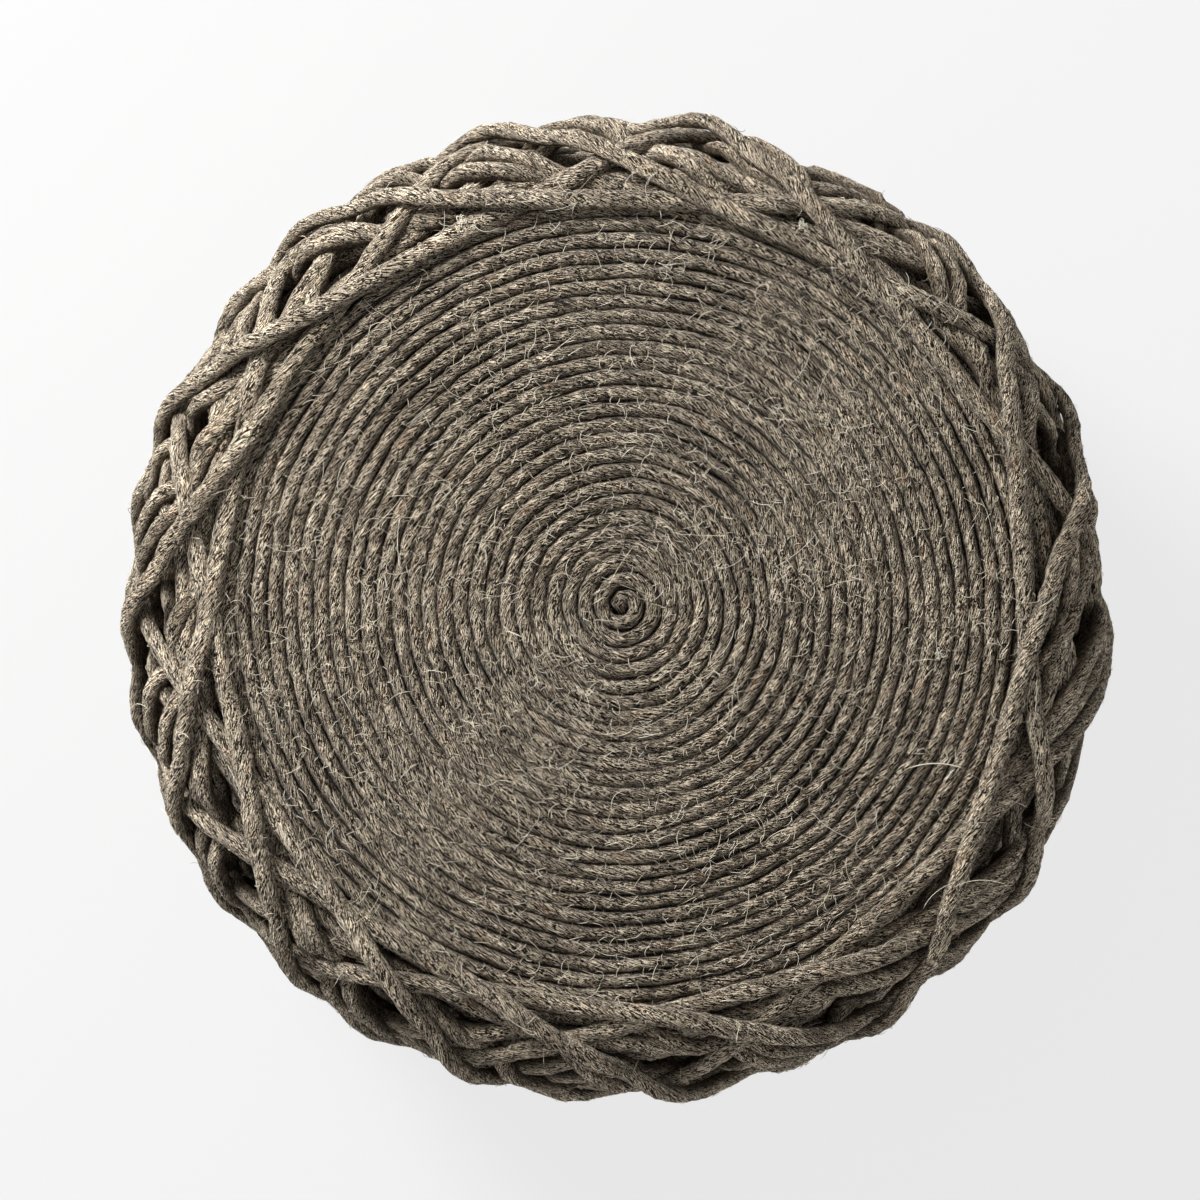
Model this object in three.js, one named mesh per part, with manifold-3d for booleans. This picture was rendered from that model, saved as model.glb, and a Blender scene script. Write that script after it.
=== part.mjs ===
// A round pouf wound from thick felted wool yarn, standing on its flat underside.
// The top is one yarn coiled flat from the middle outwards. More of the yarn is wound over the
// shoulder and the side in long slanting turns, which cross each other like a net.
// Millimetres, +Z up, with the origin at the middle of the flat underside.

import * as THREE from 'three';
import { mergeVertices } from 'three/addons/utils/BufferGeometryUtils.js';
import Module from 'manifold-3d';

const radians = THREE.MathUtils.degToRad;
const FULL_TURN = 2 * Math.PI;

// The whole pouf
const OUTER_RADIUS = 250;
const CROWN_TOP = 344;

// The yarn, round in the coil and pressed a little flat where it is wound over the side, where it
// leans this far from straight down
const COIL_PITCH = 7.6;
const COIL_THICKNESS = 7.5;
const COIL_GROOVE = 2.2;
const WRAP_WIDTH = 10.3;
const WRAP_THICKNESS = 7;
const SIDE_LEAN = radians(45);

// Gaps between pieces that touch on the real pouf, with room for the flat faces of each solid
const SEAT_GAP = 1;
const CROSSING_GAP = 1.1;
const COIL_GAP = 0.4;

// The bed that the outer wraps lie on: a low crown, a round shoulder, a slightly bowed side that
// is widest near its top, and a tuck that turns in under the pouf
const CROWN_RADIUS = 187;
const CROWN_SLOPE = radians(5);
const SIDE_HEIGHT = 236;
const SIDE_TOP_TILT = radians(1);
const SIDE_FOOT_TILT = radians(5);
const TUCK_RADIUS = 40;
const TUCK_ANGLE = radians(60);

// The top coil and the hollow it sits in
const COIL_RADIUS = 197;
const COIL_STEPS_PER_TURN = 28;
const COIL_BLOCK_DEPTH = 60;
const HOLLOW_RADIUS = COIL_RADIUS + COIL_GAP;

// The radii at which the coil's underside, and the body's top under it, change slope
const COIL_UNDERSIDE_RADII = [100, 150, CROWN_RADIUS];

// The net of earlier turns that shows on the body between the outer wraps: how many cross it each
// way, how deep its pits are once they are clear of the coil, and how much of each square a pit's
// floor takes
const NET_TURNS = 28;
const NET_PIT_DEPTH = 7;
const NET_FADE = radians(25);
const NET_FLOOR_SHARE = 0.5;
const NET_TANGENT_RADIUS = 202.5;

// The net stops at least this share of a row short of the tuck's end
const NET_END_MARGIN = 1 / 3;

// The flat underside, set in a little from the tuck
const FOOT_RADIUS = 190;
const FOOT_ROUNDING = 3;
const FOOT_HEIGHT = 15;

// The outer wraps, by where each one runs beside the coil: its compass angle in degrees,
// counter-clockwise from +X, the radius there, and whether it was wound on after the others
const WRAPS = [
  { azimuth: 5, tangentRadius: 201, woundLast: true },
  { azimuth: 42, tangentRadius: 202.5, woundLast: false },
  { azimuth: 66, tangentRadius: 202.5, woundLast: false },
  { azimuth: 90, tangentRadius: 202.5, woundLast: false },
  { azimuth: 119, tangentRadius: 201.5, woundLast: false },
  { azimuth: 146, tangentRadius: 202.5, woundLast: false },
  { azimuth: 170, tangentRadius: 203, woundLast: false },
  { azimuth: 193, tangentRadius: 202.5, woundLast: false },
  { azimuth: 216, tangentRadius: 202.5, woundLast: false },
  { azimuth: 240, tangentRadius: 201.5, woundLast: false },
  { azimuth: 263, tangentRadius: 201, woundLast: false },
  { azimuth: 286, tangentRadius: 202.5, woundLast: false },
  { azimuth: 312, tangentRadius: 202.5, woundLast: false },
  { azimuth: 342, tangentRadius: 201, woundLast: true },
];

// The path of a wrap is worked out in these steps, and its rings are set so close that the
// straight faces between them cut no more than this into its curve
const PATH_STEP = 1;
const LARGEST_DIP = 0.7;
const PLATEAU_SHARE = 0.8;

// Wraps that would cross within this angle past their ends are set apart as if they did
const END_MARGIN = radians(6);

// How often a search halves its range, and how close two points of a solid are one point
const HALVINGS = 40;
const MERGE_DISTANCE = 1e-4;

const YARN_COLOUR = new THREE.Color().setStyle('rgb(103, 94, 82)');
const SHADED_YARN_COLOUR = new THREE.Color().setStyle('rgb(84, 76, 66)');

// The bed's outline, from the crown down to the tuck, as arcs that run smoothly into each other.
// Its points are (distance from the axis, height).
function bedOutline() {
  const beddedRadius = OUTER_RADIUS - SEAT_GAP - 2 * WRAP_THICKNESS - CROSSING_GAP;
  const sideRadius = SIDE_HEIGHT / (Math.sin(SIDE_TOP_TILT) + Math.sin(SIDE_FOOT_TILT));
  const sideBow = sideRadius * (1 - Math.cos(SIDE_TOP_TILT));
  const shoulderWidth = beddedRadius - sideBow - CROWN_RADIUS;
  const shoulderRadius = shoulderWidth / (Math.cos(SIDE_TOP_TILT) - Math.sin(CROWN_SLOPE));
  const arcs = [
    { radius: CROWN_RADIUS / Math.sin(CROWN_SLOPE), normalTo: Math.PI / 2 - CROWN_SLOPE },
    { radius: shoulderRadius, normalTo: SIDE_TOP_TILT },
    { radius: sideRadius, normalTo: -SIDE_FOOT_TILT },
    { radius: TUCK_RADIUS, normalTo: -TUCK_ANGLE },
  ];
  const outline = new THREE.CurvePath();
  let point = new THREE.Vector2(0, CROWN_TOP);
  let normal = Math.PI / 2;
  for (const { radius, normalTo } of arcs) {
    const centre = point.clone().sub(onCircle(radius, normal));
    outline.add(new THREE.EllipseCurve(centre.x, centre.y, radius, radius, normal, normalTo, true));
    point = centre.clone().add(onCircle(radius, normalTo));
    normal = normalTo;
  }
  return outline;
}

function onCircle(radius, angle) {
  return new THREE.Vector2(radius * Math.cos(angle), radius * Math.sin(angle));
}

const bed = bedOutline();
const bedLength = bed.getLength();

// The bed's point at a distance along its outline, with the outward normal there
function bedAt(length) {
  const share = THREE.MathUtils.clamp(length / bedLength, 0, 1);
  const point = bed.getPoint(share);
  const along = bed.getTangent(share);
  return { radius: point.x, height: point.y, normal: new THREE.Vector2(-along.y, along.x) };
}

// The distance along the outline at which the upper half of the bed reaches a radius
function lengthAtRadius(radius) {
  return bisect((length) => bedAt(length).radius - radius, 0, bedLength / 2);
}

// The point where a rising function passes zero
function bisect(rising, low, high) {
  for (let halving = 0; halving < HALVINGS; halving += 1) {
    const middle = (low + high) / 2;
    if (rising(middle) > 0) {
      high = middle;
    } else {
      low = middle;
    }
  }
  return (low + high) / 2;
}

// A point in space at an offset outside the bed
function bedPoint(length, azimuth, offset) {
  const { radius, height, normal } = bedAt(length);
  const distance = radius + offset * normal.x;
  return new THREE.Vector3(
    distance * Math.cos(azimuth),
    distance * Math.sin(azimuth),
    height + offset * normal.y,
  );
}

// A wrap's centre line lies low, on the bed, or high, on a wrap that lies low
const LOW = SEAT_GAP + WRAP_THICKNESS / 2;
const HIGH = LOW + WRAP_THICKNESS + CROSSING_GAP;

// The point (distance from the axis, height) where a high wrap's centre line passes the bed's
// outline at a distance along it
function highPoint(length) {
  const { radius, height, normal } = bedAt(length);
  return new THREE.Vector2(radius, height).addScaledVector(normal, HIGH);
}

// One half of a wrap, from where it runs beside the coil down to the tuck. Seen from above a high
// one runs straight until it is over the shoulder, and it goes down the side at a steady lean. Each
// row gives the angle turned round the pouf, the distance down the bed and the lean there.
function wrapHalf(tangentRadius) {
  const start = bisect((length) => highPoint(length).x - tangentRadius, 0, bedLength / 2);
  const rows = [{ turned: 0, length: start, lean: Math.PI / 2 }];
  let point = highPoint(start);
  let radius = tangentRadius;
  while (rows.at(-1).length < bedLength) {
    const { turned, length } = rows.at(-1);
    const nextLength = Math.min(length + PATH_STEP, bedLength);
    const nextPoint = highPoint(nextLength);
    const step = nextPoint.distanceTo(point);
    const nextRadius = Math.max(nextPoint.x, tangentRadius);
    const straightTurn = Math.acos(tangentRadius / nextRadius) - Math.acos(tangentRadius / radius);
    const steadyTurn = (Math.tan(SIDE_LEAN) * step) / nextRadius;
    const turn = Math.max(straightTurn, steadyTurn);
    const lean = Math.atan2(turn * nextRadius, step);
    rows.push({ turned: turned + turn, length: nextLength, lean });
    point = nextPoint;
    radius = nextRadius;
  }
  return rows;
}

// The row of a wrap's half that has turned by an angle, between the rows worked out
function whenTurned(rows, turned) {
  let low = 0;
  let high = rows.length - 1;
  while (high - low > 1) {
    const middle = Math.floor((low + high) / 2);
    if (rows[middle].turned > turned) {
      high = middle;
    } else {
      low = middle;
    }
  }
  const share = (turned - rows[low].turned) / (rows[high].turned - rows[low].turned);
  const length = THREE.MathUtils.lerp(rows[low].length, rows[high].length, share);
  return { length, lean: rows[high].lean };
}

// Where two wraps cross, the half that climbs counter-clockwise lies over the half that falls,
// except that a wrap wound on last lies over those wound before it
function risingLiesOver(rising, falling) {
  return rising.woundLast || !falling.woundLast;
}

// Every crossing of one half of a wrap with the other wraps, as the angle turned to reach it, the
// half-angle over which the two yarns overlap, and the level the yarn has there
function crossingsOf(wrap, side) {
  const crossings = [];
  for (const other of wraps) {
    if (other === wrap) {
      continue;
    }
    const apart = THREE.MathUtils.euclideanModulo(side * (other.azimuth - wrap.azimuth), FULL_TURN);
    const mismatch = (turned) =>
      whenTurned(wrap.rows, turned).length - whenTurned(other.rows, apart - turned).length;
    const turned = bisect(mismatch, 0, apart);
    const pastEnd = Math.max(turned - wrap.rows.at(-1).turned, apart - turned - other.rows.at(-1).turned);
    if (pastEnd > END_MARGIN) {
      continue;
    }
    const { length, lean } = whenTurned(wrap.rows, turned);
    const { radius } = bedAt(length);
    const overlap = (WRAP_WIDTH / 2) * Math.tan(lean) * PLATEAU_SHARE;
    const liesOver = side > 0 ? risingLiesOver(wrap, other) : !risingLiesOver(other, wrap);
    crossings.push({
      turned,
      reach: (overlap * Math.sin(lean)) / radius,
      level: liesOver ? HIGH : LOW,
    });
  }
  return crossings.sort((first, second) => first.turned - second.turned);
}

// The level of a whole wrap, as knots of signed angle and level. The wrap lies low beside the
// coil. Each crossing holds its level over its reach, and the wrap slopes from one level to the
// next between crossings.
function levelKnots(wrap) {
  const knots = [{ angle: 0, level: LOW }];
  for (const side of [-1, 1]) {
    for (const { turned, reach, level } of crossingsOf(wrap, side)) {
      knots.push({ angle: side * (turned - reach), level });
      knots.push({ angle: side * (turned + reach), level });
    }
  }
  knots.sort((first, second) => first.angle - second.angle);
  const changes = knots.filter((knot, index) => {
    const neighbours = [knots[index - 1], knots[index + 1]];
    return neighbours.some((neighbour) => neighbour && neighbour.level !== knot.level);
  });
  return changes.length > 0 ? changes : [knots[0]];
}

function levelAt(knots, angle) {
  const next = knots.findIndex((knot) => knot.angle >= angle);
  if (next === 0) {
    return knots[0].level;
  }
  if (next < 0) {
    return knots.at(-1).level;
  }
  const before = knots[next - 1];
  const after = knots[next];
  const share = (angle - before.angle) / (after.angle - before.angle);
  return THREE.MathUtils.lerp(before.level, after.level, share);
}

// The centre line of a wrap at a signed angle from the place where it runs beside the coil
function wrapPoint(wrap, angle) {
  const { length } = whenTurned(wrap.rows, Math.abs(angle));
  return bedPoint(length, wrap.azimuth + angle, levelAt(wrap.knots, angle));
}

// The angles at which a wrap gets a ring: its ends, the knots of its level, and between them as
// many more as keep the straight faces close to the curve
function ringAngles(wrap) {
  const end = wrap.rows.at(-1).turned;
  const fixed = [-end, ...wrap.knots.map((knot) => knot.angle), end];
  const angles = [fixed[0]];
  for (let index = 1; index < fixed.length; index += 1) {
    addRings(wrap, angles, fixed[index - 1], fixed[index]);
  }
  return angles;
}

function addRings(wrap, angles, from, to) {
  const middle = (from + to) / 2;
  const straight = wrapPoint(wrap, from).lerp(wrapPoint(wrap, to), 0.5);
  if (straight.distanceTo(wrapPoint(wrap, middle)) > LARGEST_DIP) {
    addRings(wrap, angles, from, middle);
    addRings(wrap, angles, middle, to);
  } else {
    angles.push(to);
  }
}

// The flattened section of a wrap, as shares of its half width and half thickness
const SECTION = [
  { across: 0, out: 1 },
  { across: -1, out: 0.2 },
  { across: -0.6, out: -1 },
  { across: 0.6, out: -1 },
  { across: 1, out: 0.2 },
];

function wrapGeometry(wrap) {
  const angles = ringAngles(wrap);
  const centres = angles.map((angle) => wrapPoint(wrap, angle));
  const rings = angles.map((angle, index) => {
    const before = centres[Math.max(index - 1, 0)];
    const after = centres[Math.min(index + 1, centres.length - 1)];
    const along = after.clone().sub(before).normalize();
    const { normal } = bedAt(whenTurned(wrap.rows, Math.abs(angle)).length);
    const azimuth = wrap.azimuth + angle;
    const outward = new THREE.Vector3(
      normal.x * Math.cos(azimuth),
      normal.x * Math.sin(azimuth),
      normal.y,
    );
    const across = outward.clone().cross(along).normalize();
    const out = along.clone().cross(across);
    return SECTION.map((corner) =>
      centres[index]
        .clone()
        .addScaledVector(across, (corner.across * WRAP_WIDTH) / 2)
        .addScaledVector(out, (corner.out * WRAP_THICKNESS) / 2),
    );
  });
  return loftGeometry(rings);
}

// A closed solid through a row of rings, with flat ends
function loftGeometry(rings) {
  const sides = rings[0].length;
  const faces = [];
  for (let ring = 0; ring + 1 < rings.length; ring += 1) {
    for (let side = 0; side < sides; side += 1) {
      const here = ring * sides + side;
      const beside = ring * sides + ((side + 1) % sides);
      faces.push(here, beside, here + sides, beside, beside + sides, here + sides);
    }
  }
  const last = (rings.length - 1) * sides;
  for (let side = 1; side + 1 < sides; side += 1) {
    faces.push(0, side + 1, side);
    faces.push(last, last + side, last + side + 1);
  }
  return geometryOf(rings.flat(), faces);
}

function geometryOf(points, faces) {
  const geometry = new THREE.BufferGeometry().setFromPoints(points);
  geometry.setIndex(faces);
  geometry.computeVertexNormals();
  return geometry;
}

// The body, from the hollow under the coil, down over the net of earlier turns, to the foot. It is
// a grid of rows and columns of points. In the net every second point is a crossing of two turns,
// and each point between four crossings is the middle of a pit.
function bodyGeometry() {
  const columns = 2 * NET_TURNS;
  const columnAngle = FULL_TURN / columns;
  const points = [];
  const faces = [];

  const addPoint = (point) => points.push(point) - 1;
  const addRow = (pointAt) => {
    return Array.from({ length: columns }, (_, column) => addPoint(pointAt(column)));
  };
  const addRoundRow = (radius, height) => {
    return addRow((column) => roundPoint(radius, height, column * columnAngle));
  };
  const around = (row, column) => row[(column + columns) % columns];
  const joinRows = (upper, lower) => {
    for (let column = 0; column < columns; column += 1) {
      faces.push(upper[column], lower[column], around(lower, column + 1));
      faces.push(upper[column], around(lower, column + 1), around(upper, column + 1));
    }
  };

  const netTable = wrapHalf(NET_TANGENT_RADIUS);
  const lastNetRow = Math.floor(netTable.at(-1).turned / columnAngle - NET_END_MARGIN);
  const netPoint = (row, column, depth) => {
    const { length } = whenTurned(netTable, row * columnAngle);
    return bedPoint(length, column * columnAngle, -depth);
  };
  const pitDepthAt = (row) => {
    return NET_PIT_DEPTH * THREE.MathUtils.smoothstep(row * columnAngle, 0, NET_FADE);
  };

  const hollowRows = [...COIL_UNDERSIDE_RADII, HOLLOW_RADIUS].map((radius) => {
    return addRoundRow(radius, coilUndersideAt(radius) - COIL_GAP);
  });
  const hollowRim = addRoundRow(HOLLOW_RADIUS, bedAt(lengthAtRadius(HOLLOW_RADIUS)).height);
  const net = [];
  for (let row = 0; row <= lastNetRow; row += 1) {
    net.push(addRow((column) => netPoint(row, column, 0)));
  }
  const footRows = [
    addRow((column) => bedPoint(bedLength, column * columnAngle, 0)),
    addRoundRow(FOOT_RADIUS, FOOT_HEIGHT),
    addRoundRow(FOOT_RADIUS, FOOT_ROUNDING),
    addRoundRow(FOOT_RADIUS - FOOT_ROUNDING, 0),
  ];

  const plainRows = [...hollowRows, hollowRim, net[0]];
  plainRows.slice(1).forEach((row, index) => joinRows(plainRows[index], row));
  [net[lastNetRow], ...footRows].slice(0, -1).forEach((row, index) => joinRows(row, footRows[index]));

  // The net's edges are flat half squares, and inside it each square is a pit with a flat floor
  for (let row = 0; row <= lastNetRow; row += 1) {
    for (let column = (row + 1) % 2; column < columns; column += 2) {
      const up = net[row - 1]?.[column];
      const down = net[row + 1]?.[column];
      const left = around(net[row], column - 1);
      const right = around(net[row], column + 1);
      if (row === 0) {
        faces.push(left, down, net[row][column], net[row][column], down, right);
      } else if (row === lastNetRow) {
        faces.push(up, left, net[row][column], up, net[row][column], right);
      } else {
        const depth = pitDepthAt(row);
        const floor = [
          addPoint(netPoint(row - NET_FLOOR_SHARE, column, depth)),
          addPoint(netPoint(row, column - NET_FLOOR_SHARE, depth)),
          addPoint(netPoint(row + NET_FLOOR_SHARE, column, depth)),
          addPoint(netPoint(row, column + NET_FLOOR_SHARE, depth)),
        ];
        const corners = [up, left, down, right];
        faces.push(floor[0], floor[1], floor[2], floor[0], floor[2], floor[3]);
        corners.forEach((corner, index) => {
          const next = (index + 1) % corners.length;
          faces.push(corner, corners[next], floor[next], corner, floor[next], floor[index]);
        });
      }
    }
  }

  const top = addPoint(new THREE.Vector3(0, 0, coilUndersideAt(0) - COIL_GAP));
  const bottom = addPoint(new THREE.Vector3(0, 0, 0));
  const innermost = hollowRows[0];
  const lowest = footRows.at(-1);
  for (let column = 0; column < columns; column += 1) {
    faces.push(top, innermost[column], around(innermost, column + 1));
    faces.push(bottom, around(lowest, column + 1), lowest[column]);
  }
  return geometryOf(points, faces);
}

function roundPoint(radius, height, azimuth) {
  return new THREE.Vector3(radius * Math.cos(azimuth), radius * Math.sin(azimuth), height);
}

// The height of the coil's underside at a distance from the axis
function coilUndersideAt(radius) {
  return bedAt(lengthAtRadius(radius)).height - COIL_THICKNESS;
}

// The coil's turns, seen from above, wind outwards clockwise. Crest lines run along the middle of
// the yarn and groove lines between two turns. The block they top is cut to the coil's round rim
// and crowned underside.
function coilGeometry(wasm) {
  const turns = Math.ceil(COIL_RADIUS / COIL_PITCH) + 1;
  const lastStep = turns * COIL_STEPS_PER_TURN;
  const linePoint = (step, turnsOut, depth) => {
    const radius = COIL_PITCH * (step / COIL_STEPS_PER_TURN + turnsOut);
    const { height } = bedAt(lengthAtRadius(radius));
    return roundPoint(radius, height - depth, (-FULL_TURN * step) / COIL_STEPS_PER_TURN);
  };
  const crestPoint = (_, step) => linePoint(step, 0, COIL_GAP);
  const groovePoint = (_, step) => linePoint(step, 0.5, COIL_GAP + COIL_GROOVE);
  const grooveSteps = lastStep - COIL_STEPS_PER_TURN;
  const crests = Array.from({ length: lastStep + 1 }, crestPoint);
  const grooves = Array.from({ length: grooveSteps + 1 }, groovePoint);

  const points = [...crests, ...grooves];
  const groove = (step) => crests.length + step;
  const outer = (step) => step + COIL_STEPS_PER_TURN;
  const faces = [];
  for (let step = 0; step < grooveSteps; step += 1) {
    faces.push(step, step + 1, groove(step));
    faces.push(step + 1, groove(step + 1), groove(step));
    faces.push(groove(step), groove(step + 1), outer(step));
    faces.push(groove(step + 1), outer(step + 1), outer(step));
  }
  for (let step = 1; step < COIL_STEPS_PER_TURN; step += 1) {
    faces.push(0, step + 1, step);
  }
  faces.push(0, groove(0), COIL_STEPS_PER_TURN);

  // The block below the turns, down to a flat floor
  const rim = [];
  for (let step = grooveSteps; step <= lastStep; step += 1) {
    rim.push(step);
  }
  rim.push(groove(grooveSteps));
  const floorHeight = CROWN_TOP - COIL_BLOCK_DEPTH;
  const floorStart = points.length;
  rim.forEach((index) => points.push(points[index].clone().setZ(floorHeight)));
  rim.forEach((index, place) => {
    const next = (place + 1) % rim.length;
    faces.push(index, rim[next], floorStart + place);
    faces.push(rim[next], floorStart + next, floorStart + place);
  });
  const middle = points.length;
  points.push(new THREE.Vector3(0, 0, floorHeight));
  const innerEnd = floorStart;
  const grooveEnd = floorStart + rim.length - 1;
  const outerEnd = grooveEnd - 1;
  for (let place = floorStart; place < outerEnd - 1; place += 1) {
    faces.push(middle, place, place + 1);
  }
  faces.push(middle, outerEnd - 1, innerEnd);
  faces.push(innerEnd, outerEnd - 1, grooveEnd);
  faces.push(grooveEnd, outerEnd - 1, outerEnd);

  const block = solidOf(wasm, geometryOf(points, faces));
  const turned = block.intersect(solidOf(wasm, coilShell()));
  return geometryOfSolid(turned);
}

// The room that the coil fills: a disc with a round rim and the bed's crown on its underside
function coilShell() {
  const underside = [0, ...COIL_UNDERSIDE_RADII, COIL_RADIUS];
  const outline = [
    ...underside.map((radius) => new THREE.Vector2(radius, coilUndersideAt(radius))),
    new THREE.Vector2(COIL_RADIUS, CROWN_TOP + COIL_THICKNESS),
    new THREE.Vector2(0, CROWN_TOP + COIL_THICKNESS),
  ];
  return new THREE.LatheGeometry(outline, 2 * NET_TURNS).rotateX(Math.PI / 2);
}

function solidOf(wasm, geometry) {
  const bare = geometry.clone();
  bare.deleteAttribute('normal');
  bare.deleteAttribute('uv');
  const merged = mergeVertices(bare, MERGE_DISTANCE);
  return new wasm.Manifold(
    new wasm.Mesh({
      numProp: 3,
      vertProperties: new Float32Array(merged.getAttribute('position').array),
      triVerts: new Uint32Array(merged.getIndex().array),
    }),
  );
}

function geometryOfSolid(solid) {
  const mesh = solid.getMesh();
  const geometry = new THREE.BufferGeometry();
  geometry.setAttribute('position', new THREE.BufferAttribute(mesh.vertProperties, 3));
  geometry.setIndex(new THREE.BufferAttribute(mesh.triVerts, 1));
  geometry.computeVertexNormals();
  return geometry;
}

function woolMesh(name, geometry, colour) {
  const material = new THREE.MeshStandardMaterial({ color: colour, roughness: 0.95, metalness: 0 });
  const mesh = new THREE.Mesh(geometry, material);
  mesh.name = name;
  return mesh;
}

const wraps = WRAPS.map((wrap) => ({
  ...wrap,
  azimuth: radians(wrap.azimuth),
  rows: wrapHalf(wrap.tangentRadius),
}));
wraps.forEach((wrap) => {
  wrap.knots = levelKnots(wrap);
});

const wasm = await Module();
wasm.setup();

const pouf = new THREE.Group();
pouf.add(woolMesh('filled_body', bodyGeometry(), SHADED_YARN_COLOUR));
pouf.add(woolMesh('top_coil', coilGeometry(wasm), YARN_COLOUR));
wraps.forEach((wrap, index) => {
  const name = `wrap_${String(index + 1).padStart(2, '0')}`;
  pouf.add(woolMesh(name, wrapGeometry(wrap), YARN_COLOUR));
});

export default pouf;
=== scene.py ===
import math

import bmesh
import bpy
import numpy as np
from mathutils import Matrix, Vector, noise
from mathutils.kdtree import KDTree


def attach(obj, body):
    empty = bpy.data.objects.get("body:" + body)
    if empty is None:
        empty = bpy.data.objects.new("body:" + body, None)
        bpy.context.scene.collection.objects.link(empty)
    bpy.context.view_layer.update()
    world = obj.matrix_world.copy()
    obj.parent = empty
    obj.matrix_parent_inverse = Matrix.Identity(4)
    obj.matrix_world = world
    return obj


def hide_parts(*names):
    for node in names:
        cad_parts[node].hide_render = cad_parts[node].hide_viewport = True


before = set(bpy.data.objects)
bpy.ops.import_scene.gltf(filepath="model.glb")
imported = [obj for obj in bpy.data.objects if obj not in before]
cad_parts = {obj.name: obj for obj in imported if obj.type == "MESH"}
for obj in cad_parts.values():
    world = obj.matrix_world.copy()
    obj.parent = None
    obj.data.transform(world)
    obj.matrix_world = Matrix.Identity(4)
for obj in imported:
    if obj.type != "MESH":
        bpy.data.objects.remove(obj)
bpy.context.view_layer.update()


# The picture. The camera hangs almost straight above the pouf on a long lens, with +Y at the top of
# the picture. The pouf stands on pale, evenly lit paper in a white room, with one soft lamp to its
# upper left.

# In metres, as all sizes are, but for the sensor
PICTURE_WIDTH = 0.619
MIDDLE_HEIGHT = 0.170
CAMERA_RISE = 3.5
CAMERA_AIM = (-0.0059, 0.0047, MIDDLE_HEIGHT)
CAMERA_PLACE = (-0.115, -0.037, MIDDLE_HEIGHT + CAMERA_RISE)
CAMERA_SIGHT = 20
SENSOR_WIDTH_MM = 36

LAMP_AZIMUTH = math.radians(135)
LAMP_ELEVATION = math.radians(33)
LAMP_DISTANCE = 2.2
LAMP_SIDE = 0.7
LAMP_POWER = 66
ROOM_BRIGHTNESS = 0.35
WHITE_LIGHT = (1, 1, 1, 1)

FLOOR_SIDE = 6.0
PAPER_COLOUR = (0.13, 0.13, 0.13, 1)
PAPER_ROUGHNESS = 0.9
PAPER_GLOW = 0.76


def show(name, data):
    """A new object for this data, in the scene."""
    shown = bpy.data.objects.new(name, data)
    bpy.context.scene.collection.objects.link(shown)
    return shown


def pointing(place, aim):
    """The matrix of a camera or lamp at a place, turned to an aim, with +Y upwards in its picture."""
    backward = (Vector(place) - Vector(aim)).normalized()
    right = Vector((0, 1, 0)).cross(backward).normalized()
    turned = Matrix((right, backward.cross(right), backward)).transposed().to_4x4()
    return Matrix.Translation(place) @ turned


camera = show("camera", bpy.data.cameras.new("camera"))
camera.data.sensor_width = SENSOR_WIDTH_MM
camera.data.lens = SENSOR_WIDTH_MM * CAMERA_RISE / PICTURE_WIDTH
camera.data.clip_end = CAMERA_SIGHT
camera.matrix_world = pointing(CAMERA_PLACE, CAMERA_AIM)
bpy.context.scene.camera = camera

lamp = show("soft_lamp", bpy.data.lights.new("soft_lamp", "AREA"))
lamp.data.size = LAMP_SIDE
lamp.data.energy = LAMP_POWER
lamp_place = LAMP_DISTANCE * Vector(
    (
        math.cos(LAMP_ELEVATION) * math.cos(LAMP_AZIMUTH),
        math.cos(LAMP_ELEVATION) * math.sin(LAMP_AZIMUTH),
        math.sin(LAMP_ELEVATION),
    )
)
lamp.matrix_world = pointing(lamp_place, (0, 0, MIDDLE_HEIGHT))

room = bpy.data.worlds.new("white_room")
room.use_nodes = True
room.node_tree.nodes["Background"].inputs["Color"].default_value = WHITE_LIGHT
room.node_tree.nodes["Background"].inputs["Strength"].default_value = ROOM_BRIGHTNESS
bpy.context.scene.world = room
bpy.context.scene.view_settings.view_transform = "Standard"

paper = bpy.data.materials.new("pale_paper")
paper.use_nodes = True
paper_shader = paper.node_tree.nodes["Principled BSDF"]
paper_shader.inputs["Base Color"].default_value = PAPER_COLOUR
paper_shader.inputs["Roughness"].default_value = PAPER_ROUGHNESS
paper_shader.inputs["Emission Color"].default_value = WHITE_LIGHT
paper_shader.inputs["Emission Strength"].default_value = PAPER_GLOW
floor_sheet = bmesh.new()
bmesh.ops.create_grid(floor_sheet, x_segments=1, y_segments=1, size=FLOOR_SIDE / 2)
floor = show("floor", bpy.data.meshes.new("floor"))
floor_sheet.to_mesh(floor.data)
floor_sheet.free()
floor.data.materials.append(paper)


# The filled body. The real one is a firm round form, wound all over with yarn. This piece is its
# core: it is spun from an outline that follows the wound surface some way down, with a flat
# underside of plain felted wool.
MM = 0.001

CROWN_TOP = 344 * MM
BEDDED_RADIUS = 233.9 * MM
CROWN_RADIUS = 187 * MM
CROWN_SLOPE = math.radians(5)
SIDE_HEIGHT = 236 * MM
SIDE_TOP_TILT = math.radians(1)
SIDE_FOOT_TILT = math.radians(5)
TUCK_RADIUS = 40 * MM
TUCK_ANGLE = math.radians(60)
BED_TABLE_ROWS = 4000

COIL_THICKNESS = 7.5 * MM
SEAT_GAP = 0.4 * MM
UNDER_COIL_RADII = np.array([0, 50, 100, 150, 175, 190, 200]) * MM
CORE_EDGE_RADIUS = 207 * MM
CORE_EDGE_ROWS = 60
CORE_DEPTH = 30 * MM
FOOT_RADIUS = 190 * MM
FOOT_ROUNDING = 3 * MM
FOOT_CUT = 0.3 * FOOT_ROUNDING
FOOT_HEIGHT = 15 * MM
CORE_STEPS = 160
MERGED_WITHIN = 0.01 * MM


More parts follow.
